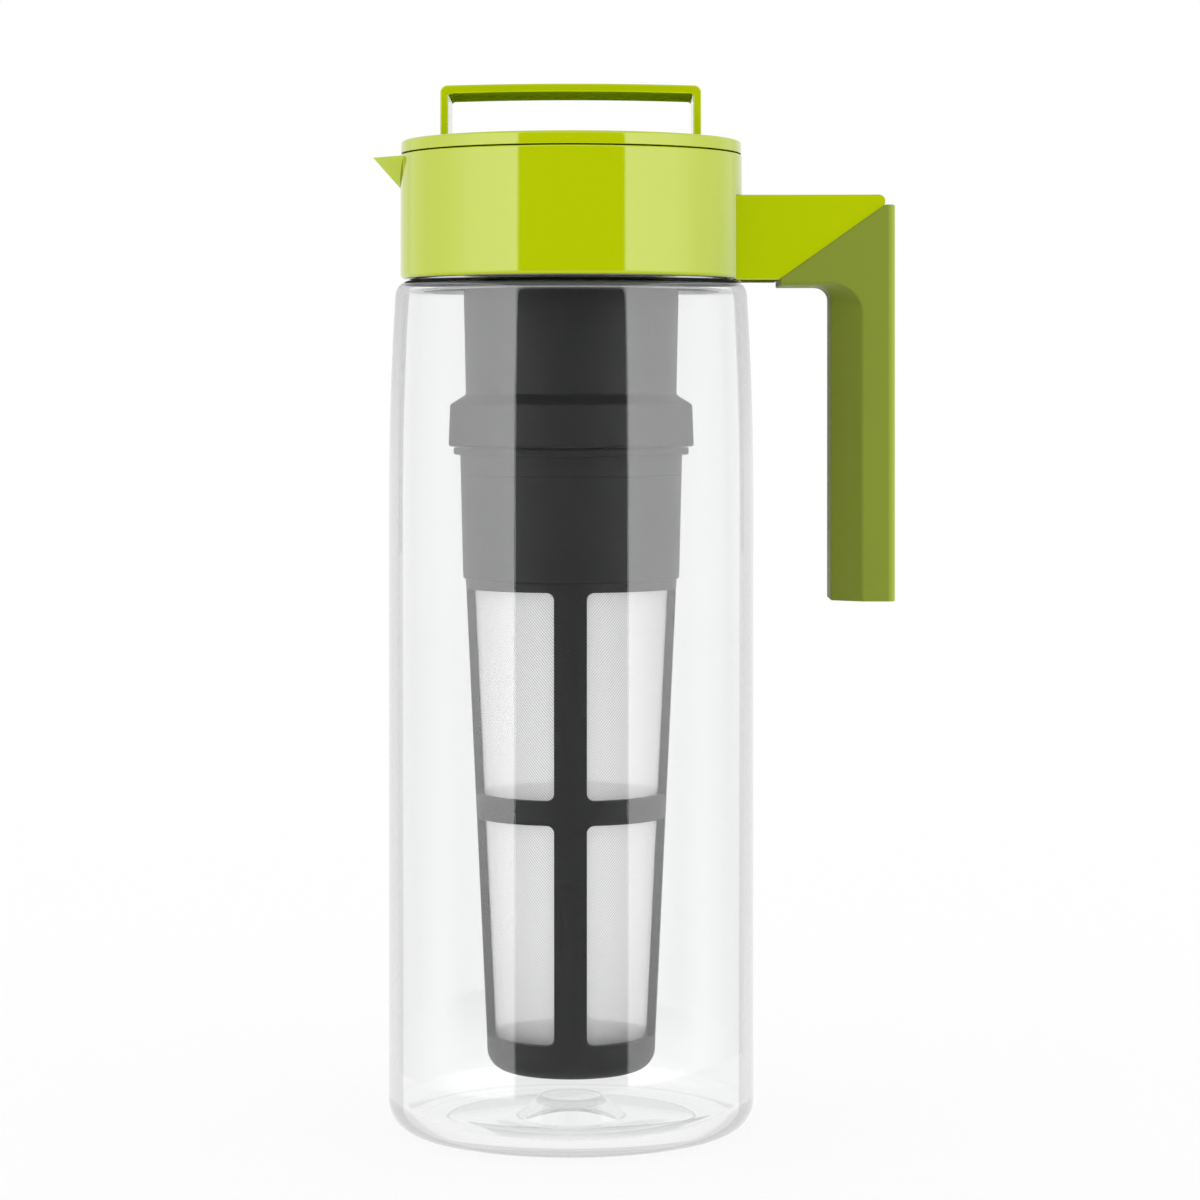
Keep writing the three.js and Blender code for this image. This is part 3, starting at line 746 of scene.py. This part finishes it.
def makeGrip():
    s, arm = gripSize, armSize
    (_, outer), (_, half), (foot, top) = span("handle_grip")
    (_, armEnd), _, (_, armTop) = span("handle_arm")
    inner = outer - arm["gripDepth"]
    bottom = armFoot()
    lipX = arm["seamFoot"] - s["lipReach"]
    lipBottom = bottom - s["lip"]
    creaseTop = lipBottom - s["creaseDrop"]
    rise = armTop - arm["endHeight"] - bottom
    slope = rise / (armEnd - arm["seamFoot"])
    drop = arm["gap"] * sqrt(1 + slope ** 2)
    topX = arm["seamFoot"] + (top - bottom + drop) / slope
    lipTop = bottom - drop + slope * (lipX - arm["seamFoot"])
    # the inner edge and the crease of the taper, from the foot up to the end of the lip
    quarter = [pi / 2 * k / s["curveSteps"] for k in range(s["curveSteps"] + 1)]
    fillet = s["innerFillet"]
    creaseX = inner + s["taperDepth"]
    lipCrease = lipBottom + s["lipEdge"]
    edge = [(inner, foot)]
    edge += [(inner - fillet * (1 - cos(t)), lipBottom - fillet * (1 - sin(t))) for t in quarter]
    edge += [(lipX, lipBottom)]
    crease = [(creaseX, foot)]
    crease += [
        (
            s["creaseEnd"] + (creaseX - s["creaseEnd"]) * cos(t),
            creaseTop + (lipCrease - creaseTop) * sin(t),
        )
        for t in quarter
    ]
    crease += [(lipX, lipCrease)]
    shape = bmesh.new()

    def rail(points, ys):
        return [shape.verts.new((x, y, z)) for (x, z), y in zip(points, ys)]

    insets = [
        half - s["taperWidth"] * (Vector(a) - Vector(b)).length / s["taperDepth"]
        for a, b in zip(crease, edge)
    ]
    rim = [(lipX, lipTop), (topX, top), (outer, top), (outer, foot)]
    sides = []
    for side in (-1, 1):
        sides.append(dict(
            edge=rail(edge, [side * y for y in insets]),
            crease=rail(crease, [side * half] * len(crease)),
            rim=rail(rim, [side * half] * len(rim)),
        ))
    front, back = sides
    for one in sides:
        shape.faces.new(one["crease"] + one["rim"])
        for i in range(len(edge) - 1):
            shape.faces.new((one["edge"][i], one["edge"][i + 1], one["crease"][i + 1], one["crease"][i]))
    for i in range(len(edge) - 1):
        shape.faces.new((front["edge"][i], front["edge"][i + 1], back["edge"][i + 1], back["edge"][i]))

    def around(one):
        # the stretches of a side's outline from its lip over its top to its foot
        lip = [one["edge"][-1], one["crease"][-1], one["rim"][0]]
        heel = [one["rim"][-1], one["crease"][0], one["edge"][0]]
        return [lip, one["rim"][0:2], one["rim"][1:3], one["rim"][2:4], heel]

    for near, far in zip(around(front), around(back)):
        shape.faces.new(near + far[::-1])
    long = [shape.edges.get(one["rim"][2:4]) for one in sides]
    bmesh.ops.bevel(
        shape, geom=long, offset=s["outerEdge"], segments=s["outerSteps"], profile=0.5, affect="EDGES",
    )
    grip = solid("softGrip", shape)
    soften(grip, s["edge"], angle=24)
    gap = arm["gap"]
    coreX = outer - arm["gripDepth"] / 2
    reach = arm["coreDepth"] / 2 + gap
    wide = arm["coreWidth"] / 2 + gap
    cavity = block((coreX - reach, coreX + reach), (-wide, wide), (foot + s["coreLift"] - gap, armTop))
    carve(grip, [solid("cavity", cavity)])
    place(grip, "collar", "olive_soft", olive, "handle_grip", sharp=40, even=True)


makeGrip()
print("handle done")


# Lid: a flat cap, the strap that it is lifted by, and the plug under it

capSize = dict(fillet=0.9, footFillet=0.2, closer=0.12)
bailSize = dict(
    thickness=2.4, crown=0.6, fillet=2.2, innerFillet=1, edge=0.5, crownSteps=8,
    tenonDepth=1.6, tenonThickness=1.4, tenonWidth=26, gap=0.3,
)
lugSize = dict(count=3, width=40, reach=1.8, height=2.5, root=0.6)
plugSize = dict(
    disc=2.4, overhang=4, wall=2.6, groove=1.2, grooveMiddle=287.4, grooveHalf=1.3, fillet=0.4,
    bossRadius=29.6, bossWall=2, bossLength=18.6, slotHalf=11, slotMargin=0.7,
)


def bossFoot():
    _, _, (_, top) = span("lid_plug")
    return top - plugSize["disc"] - plugSize["bossLength"]


def lugs(inner, outer, bottom):
    s = lugSize
    spread = 360 / s["count"]
    return [
        solid("lug", sector(inner, outer, spread * i, s["width"], bottom, s["height"]))
        for i in range(s["count"])
    ]


def bailFeet(clearance):
    # the strap's tenons, or with a clearance their sockets in the cap
    s = bailSize
    (_, outer), _, _ = span("lid_bail")
    _, _, (_, capTop) = span("lid_cap")
    middle = outer - s["thickness"] / 2
    thick = s["tenonThickness"] / 2 + clearance
    wide = s["tenonWidth"] / 2 + clearance
    zs = (capTop - s["tenonDepth"] + s["gap"] - clearance, capTop + s["thickness"])
    return [
        solid("foot", block((x - thick, x + thick), (-wide, wide), zs)) for x in (-middle, middle)
    ]


def makeCap():
    _, (_, radius), (bottom, top) = span("lid_cap")
    bottom -= capSize["closer"]  # no light shows under the cap
    cap = solid("lidCap", lathe([
        (0, bottom), (radius, bottom, capSize["footFillet"]), (radius, top, capSize["fillet"]), (0, top),
    ], segments=256))
    carve(cap, bailFeet(bailSize["gap"]))
    place(cap, "lid", "lime_gloss", lime, "lid_cap")


def makeBail():
    s = bailSize
    (_, outer), (_, half), (_, top) = span("lid_bail")
    _, _, (_, capTop) = span("lid_cap")
    foot = capTop + s["gap"]
    inner = outer - s["thickness"]

    def crown(reach, height):
        # the bar rises a little to its middle
        steps = [k / s["crownSteps"] for k in range(1 - s["crownSteps"], s["crownSteps"])]
        return [(reach * t, height - s["crown"] * t * t) for t in steps]

    barFoot = top - s["thickness"]
    strap = solid("liftBail", slab([
        (-outer, foot),
        (-inner, foot),
        (-inner, barFoot - s["crown"], s["innerFillet"]),
        *crown(inner, barFoot),
        (inner, barFoot - s["crown"], s["innerFillet"]),
        (inner, foot),
        (outer, foot),
        (outer, top - s["crown"], s["fillet"]),
        *reversed(crown(outer, top)),
        (-outer, top - s["crown"], s["fillet"]),
    ], 2 * half))
    soften(strap, s["edge"])
    carve(strap, bailFeet(0), "UNION")
    place(strap, "lid", "lime_gloss", strapLime, "lid_bail", sharp=40, even=True)


def makePlug():
    s = plugSize
    _, (_, wide), (foot, top) = span("lid_plug")
    radius = wide - s["overhang"]
    bore = radius - s["wall"]
    groove = radius - s["groove"]
    disc = top - s["disc"]
    boss = bossFoot()
    low, high = s["grooveMiddle"] - s["grooveHalf"], s["grooveMiddle"] + s["grooveHalf"]
    fine = s["fillet"]
    plug = solid("lidPlug", lathe([
        (0, disc),
        (s["bossRadius"] - s["bossWall"], disc, fine),
        (s["bossRadius"] - s["bossWall"], boss, fine),
        (s["bossRadius"], boss, fine),
        (s["bossRadius"], disc, fine),
        (bore, disc, fine),
        (bore, foot, fine),
        (radius, foot, fine),
        (radius, low),
        (groove, low),
        (groove, high),
        (radius, high),
        (radius, disc),
        (wide, disc, fine),
        (wide, top, fine),
        (0, top),
    ]))
    hooks = lugs(s["bossRadius"] - lugSize["root"], s["bossRadius"] + lugSize["reach"], boss)
    carve(plug, hooks, "UNION")
    across = (-s["slotHalf"], s["slotHalf"])
    _, _, (_, collarTop) = span("collar")
    level = (collarTop - collarSize["rimHeight"] + s["slotMargin"], disc - s["slotMargin"])
    near, far = bore - over, radius + over
    slots = [solid("slot", block(across, reach, level)) for reach in ((near, far), (-far, -near))]
    carve(plug, slots)
    place(plug, "lid", "charcoal", charcoal, "lid_plug")


makeCap()
makeBail()
makePlug()
print("lid done")


# Infuser: an extension tube, a flanged tube that twists into it, a ribbed cage and its mesh sleeve

neckSize = dict(
    length=66, footRadius=32.1, topRadius=33.4, wall=1.6, slope=3, skirtDraft=0.5,
    skirtFillet=0.8, brow=1.1, holderLift=1.5,
)
bodySize = dict(
    flange=2.2, flangeFillet=0.7, rim=9, rimRadius=33.1, topRadius=33.8, footRadius=32.9, wall=1.8,
    hookLift=4.6, lineDrop=6.3, lineDepth=0.18, lineHalf=0.3, edge=0.3,
)
cageSize = dict(
    topRadius=32.1, footRadius=25.7, wall=2.3, draft=0.4, cupHeight=10.7, cupFloor=2.2, cupFillet=6.5,
    spigotRadius=30.8, spigotWall=1.6, spigotHeight=8, topBand=2.8, upperWindow=62.1, middleBand=7.3,
    ribHalf=4.85, ribCount=4, windowFillet=2.2, windowSteps=7, edge=0.25,
)


def makeNeck():
    s = neckSize
    _, (_, skirt), (foot, top) = span("infuser_neck")
    tubeFoot = top - s["length"]
    skirtTop = tubeFoot - s["slope"]
    bore = s["topRadius"] - s["wall"]
    skirtBore = skirt - s["skirtDraft"] - s["wall"]
    tube = solid("infuserNeck", lathe([
        (skirtBore, foot, s["skirtFillet"] / 2),
        (skirt, foot, s["skirtFillet"]),
        (skirt - s["skirtDraft"], skirtTop, s["brow"]),
        (s["footRadius"], tubeFoot, s["brow"]),
        (s["topRadius"], top, s["skirtFillet"] / 2),
        (bore, top, s["skirtFillet"] / 2),
        (bore, bossFoot() - lugSize["height"]),
        (s["footRadius"] - s["wall"], tubeFoot - s["wall"], s["brow"]),
        (skirtBore, skirtTop - s["wall"]),
    ]))
    hangerFoot = bossFoot() + lugSize["height"] + bailSize["gap"]
    hangers = lugs(bore - lugSize["reach"], bore + lugSize["root"], hangerFoot)
    holders = lugs(skirtBore - lugSize["reach"], skirtBore + lugSize["root"], foot + s["holderLift"])
    carve(tube, hangers + holders, "UNION")
    place(tube, "extension", "charcoal", charcoal, "infuser_neck")


def makeBody():
    s = bodySize
    _, (_, flange), (foot, top) = span("infuser_body")
    flangeTop = top - s["rim"]
    flangeFoot = flangeTop - s["flange"]
    bore = s["footRadius"] - s["wall"]

    def wall(z):
        share = (z - foot) / (flangeFoot - foot)
        return s["footRadius"] + (s["topRadius"] - s["footRadius"]) * share

    line = flangeFoot - s["lineDrop"]
    tube = solid("infuserBody", lathe([
        (bore, foot, s["edge"]),
        (s["footRadius"], foot, s["edge"]),
        (wall(line - s["lineHalf"]), line - s["lineHalf"]),
        (wall(line) - s["lineDepth"], line),
        (wall(line + s["lineHalf"]), line + s["lineHalf"]),
        (s["topRadius"], flangeFoot, s["edge"]),
        (flange, flangeFoot, s["flangeFillet"]),
        (flange, flangeTop, s["flangeFillet"]),
        (s["rimRadius"], flangeTop, s["edge"]),
        (s["rimRadius"], top, s["edge"]),
        (bore, top, s["edge"]),
    ]))
    hookFoot = flangeTop + s["hookLift"]
    hooks = lugs(s["rimRadius"] - lugSize["root"], s["rimRadius"] + lugSize["reach"], hookFoot)
    carve(tube, hooks, "UNION")
    place(tube, "basket", "charcoal", charcoal, "infuser_body")


def window(near, far, bottom, top, turn):
    # a cutter for one window between two ribs, with round corners where it meets the ribs
    shape = block((near, far), (near, far), (bottom, top))

    def meetsRib(edge):
        a, b = (v.co for v in edge.verts)
        level = abs(a.z - b.z) < tolerance
        return level and any(max(abs(a[k] - near), abs(b[k] - near)) < tolerance for k in (0, 1))

    bmesh.ops.bevel(
        shape, geom=[e for e in shape.edges if meetsRib(e)], offset=cageSize["windowFillet"],
        segments=cageSize["windowSteps"], profile=0.5, affect="EDGES",
    )
    shape.transform(Matrix.Rotation(turn, 4, "Z"))
    return solid("window", shape)


def makeCage():
    s = cageSize
    _, _, (foot, spigotTop) = span("infuser_cage")
    top = spigotTop - s["spigotHeight"]
    cupTop = foot + s["cupHeight"]
    spigotBore = s["spigotRadius"] - s["spigotWall"]
    cage = solid("infuserCage", lathe([
        (0, foot),
        (s["footRadius"] - s["draft"], foot, s["cupFillet"]),
        (s["footRadius"], cupTop),
        (s["topRadius"], top, s["edge"]),
        (s["spigotRadius"], top),
        (s["spigotRadius"], spigotTop, s["edge"]),
        (spigotBore, spigotTop, s["edge"]),
        (spigotBore, top),
        (s["topRadius"] - s["wall"], top),
        (s["footRadius"] - s["wall"], cupTop),
        (s["footRadius"] - s["draft"] - s["wall"], foot + s["cupFloor"], s["cupFillet"] - s["cupFloor"]),
        (0, foot + s["cupFloor"]),
    ]))
    upperTop = top - s["topBand"]
    upperFoot = upperTop - s["upperWindow"]
    levels = [(cupTop, upperFoot - s["middleBand"]), (upperFoot, upperTop)]
    turns = [2 * pi * i / s["ribCount"] for i in range(s["ribCount"])]
    cutters = [window(s["ribHalf"], s["topRadius"] + over, *level, t) for level in levels for t in turns]
    carve(cage, cutters)
    place(cage, "basket", "charcoal", charcoal, "infuser_cage")


sleeveSize = dict(thickness=0.6, footRadius=23.0)


def makeSleeve():
    _, (_, radius), (foot, top) = span("infuser_mesh")
    low, thick = sleeveSize["footRadius"], sleeveSize["thickness"]
    sleeve = solid("infuserMesh", lathe([
        (low - thick, foot), (low, foot), (radius, top), (radius - thick, top),
    ]))
    place(sleeve, "basket", "mesh_cloth", wovenMesh(), "infuser_mesh")


makeNeck()
makeBody()
makeCage()
makeSleeve()
print("infuser done")


# Studio in metres: a white surround, a pale floor, two tall side panels, two dark cards and two pale veils
# of painted shade
# Panels and cards show only in reflections, and veils only through the jug, so colours stay as they are

studio = dict(
    floorHalf=6, floorFade=(0.7, 1.8), floorTone=0.985, panelAway=0.6, panelLow=-0.25, panelHigh=1.0,
    leftReach=(-0.88, 0.57), rightReach=(-0.84, 0.62), cardAway=-0.8, cardHigh=0.6, glow=4.4,
    falloff=[(0, 1), (0.42, 0.85), (0.6, 0.48), (0.75, 0.33), (1, 0.3)], dimZ=(-0.085, 0.13), dimShare=0.6,
    backCard=((-0.075, 0.105), 0.6, (0.15, 0.33)), floorKeep=0.16, floorGlow=0.75, floorLevel=-0.0001,
    veilAway=0.07, veilReach=(0.024, 0.047), veilZ=(0.0005, 0.26), veilFade=(-0.005, 0.03),
    veil=[(0, 0.8), (0.52, 0.79), (0.62, 0.83), (0.72, 0.88), (0.85, 0.95), (1, 1)],
)


def sheet(name, corners, material):
    mesh = bpy.data.meshes.new(name)
    mesh.from_pydata(corners, [], [tuple(range(len(corners)))])
    mesh.materials.append(material)
    made = bpy.data.objects.new(name, mesh)
    bpy.context.scene.collection.objects.link(made)
    return made


def reflected(paint):
    # 1 for light that has met just one gloss on its way
    count = paint.node("LightPath", out="Glossy Depth")
    return (count > 0.5) * (count < 1.5)


def panelLight(name, start, end, glow):
    material, paint = startMaterial(name)
    y, z = along(paint, "YZ")
    reach = (y - start) * (1 / (end - start))
    fall = paint.node("ValToRGB", {"stops": studio["falloff"]}, {"Fac": reach})
    dim = graded(paint, z, studio["dimZ"], (studio["dimShare"], 1))
    light = paint.node("Emission", {}, {"Color": fall * dim, "Strength": glow})
    clearWay = paint.node("BsdfTransparent")
    both = paint.node("MixShader", {}, {0: reflected(paint), 1: clearWay, 2: light})
    paint.node("OutputMaterial", {}, {"Surface": both})
    material.cycles.emission_sampling = "NONE"
    return material


def hideFromSoftLight(thing):
    thing.visible_diffuse = False
    thing.visible_shadow = False


def upright(name, xs, y, zs, material):
    # a card or a veil across the view
    (left, right), (low, high) = xs, zs
    corners = [(left, y, low), (right, y, low), (right, y, high), (left, y, high)]
    hideFromSoftLight(sheet(name, corners, material))


def veilLight():
    # a pale grey of painted shade that is seen only through the jug, darkest beside the infuser and paler
    # at the foot
    s = studio
    material, paint = startMaterial("veil")
    x, z = along(paint, "XZ")
    near, far = s["veilReach"]
    reach = (paint.math("ABSOLUTE", x - axisX) - near) * (1 / (far - near))
    tone = paint.node("ValToRGB", {"stops": s["veil"]}, {"Fac": reach})
    full = graded(paint, z, s["veilFade"])
    light = paint.node("Emission", {}, {"Color": 1 - (1 - tone) * full, "Strength": 1})
    clearWay = paint.node("BsdfTransparent")
    through = paint.node("LightPath", out="Transmission Depth") > 0.5
    bounced = paint.node("LightPath", out="Glossy Depth") > 0.5
    both = paint.node("MixShader", {}, {0: through * (1 - bounced), 1: clearWay, 2: light})
    paint.node("OutputMaterial", {}, {"Surface": both})
    material.cycles.emission_sampling = "NONE"
    return material


def makeSurround():
    world = bpy.data.worlds.new("surround")
    bpy.context.scene.world = world
    world.use_nodes = True
    background = world.node_tree.nodes["Background"]
    background.inputs["Color"].default_value = grey(1)
    background.inputs["Strength"].default_value = 1


def makePanels():
    s = studio
    low, high = s["panelLow"], s["panelHigh"]
    for name, x, (start, end) in (
        ("leftPanel", axisX - s["panelAway"], s["leftReach"]),
        ("rightPanel", axisX + s["panelAway"], s["rightReach"]),
    ):
        corners = [(x, start, low), (x, end, low), (x, end, high), (x, start, high)]
        hideFromSoftLight(sheet(name, corners, panelLight(name, start, end, s["glow"])))


def makeCards():
    s = studio
    dark = panelLight("darkCard", start=-1, end=1, glow=0)
    # the card before the pitcher ends where the panels begin, seen from the jug
    y = s["cardAway"]
    left = axisX - s["panelAway"] * y / s["leftReach"][0]
    right = axisX + s["panelAway"] * y / s["rightReach"][0]
    upright("darkCard", (left, right), y, (s["panelLow"], s["cardHigh"]), dark)
    # a second card keeps the white surround out of undersides that are seen at a glance
    (left, right), y, heights = s["backCard"]
    upright("backCard", (left + axisX, right + axisX), y, heights, dark)
    veil = veilLight()
    near, far = s["veilReach"]
    for name, side in (("leftVeil", -1), ("rightVeil", 1)):
        upright(name, (axisX + side * near, axisX + side * far), s["veilAway"], s["veilZ"], veil)


def makeFloor():
    # takes the shadow near the pitcher and fades into the white surround
    s = studio
    material, paint = startMaterial("paleFloor")
    spot = paint.node("TexCoord", out="Object")
    away = paint.node("VectorMath", {"operation": "LENGTH"}, {0: spot}, out="Value")
    fade = graded(paint, away, s["floorFade"])
    matt = paint.node("BsdfDiffuse", {}, {"Color": grey(s["floorTone"])})
    white = paint.node("Emission", {}, {"Color": grey(1), "Strength": 1})
    # through the jug's foot it shows as a lit table
    through = paint.node("LightPath", out="Transmission Depth") > 0.5
    whiteness = s["floorGlow"] + (1 - s["floorGlow"]) * paint.math("MAXIMUM", fade, through)
    seen = paint.node("MixShader", {}, {0: whiteness, 1: matt, 2: white})
    gone = paint.node("BsdfTransparent")
    bounced = reflected(paint) * (away > s["floorKeep"])
    both = paint.node("MixShader", {}, {0: bounced, 1: seen, 2: gone})
    paint.node("OutputMaterial", {}, {"Surface": both})
    material.cycles.emission_sampling = "NONE"
    half, level = s["floorHalf"], s["floorLevel"]
    flat = ((-half, -half), (half, -half), (half, half), (-half, half))
    sheet("floor", [(x, y, level) for x, y in flat], material)


makeSurround()
makePanels()
makeCards()
makeFloor()
print("studio done")


# Camera: lens and sensor in millimetres, its place in metres

view = dict(lens=112.2, sensor=36, away=1.14, height=0.222, aside=0.00878, shift=-0.1682)


def makeCamera():
    # level, with the lens shifted down
    camera = bpy.data.objects.new("camera", bpy.data.cameras.new("camera"))
    camera.data.lens = view["lens"]
    camera.data.sensor_width = view["sensor"]
    camera.data.shift_y = view["shift"]
    camera.location = (axisX + view["aside"], -view["away"], view["height"])
    camera.rotation_euler = (pi / 2, 0, 0)
    bpy.context.scene.collection.objects.link(camera)
    bpy.context.scene.camera = camera


makeCamera()
bpy.context.scene.view_settings.view_transform = "Standard"
